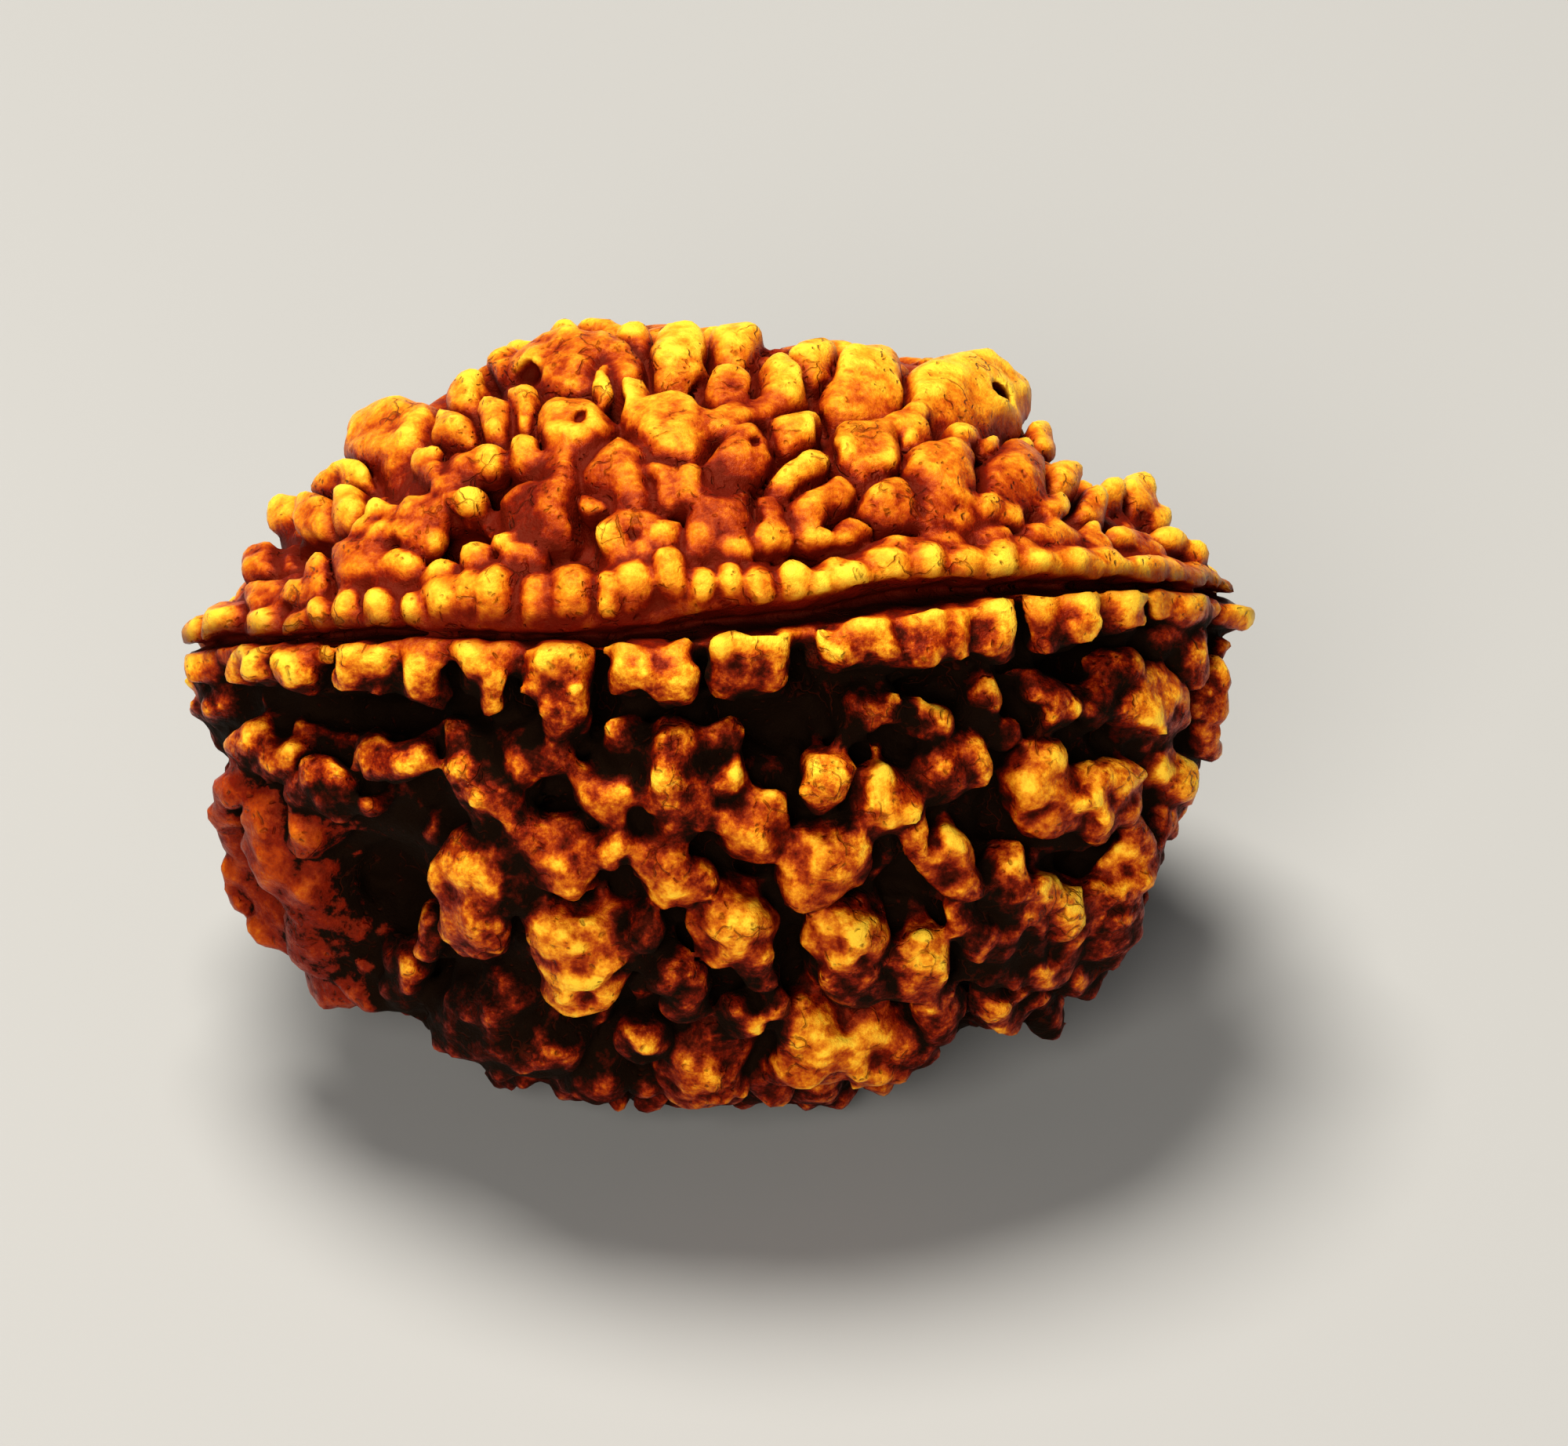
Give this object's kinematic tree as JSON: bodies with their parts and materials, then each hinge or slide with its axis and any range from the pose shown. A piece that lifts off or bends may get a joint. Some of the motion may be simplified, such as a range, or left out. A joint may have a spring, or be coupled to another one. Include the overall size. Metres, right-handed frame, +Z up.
{
  "type": "two mukhi rudraksha bead",
  "caption": "Almond-shaped woody seed bead, deeply knobbed on two valves that meet in two mukh lines, with a natural hole from end to end.",
  "frame": {"origin": "centre of the bounding box in plan, on the surface that the bead rests on", "axes": "+X along the hole, from end to end; +Z up at rest; -Y towards the raised mukh line"},
  "size_m": [0.0227, 0.018, 0.0166],
  "materials": {
    "seed_wood": "oiled seed wood, orange-gold on the knob tips, red-brown on their flanks and near black in the pits"
  },
  "bodies": {
    "root": {"rudraksha_bead": "seed_wood"}
  },
  "joints": []
}
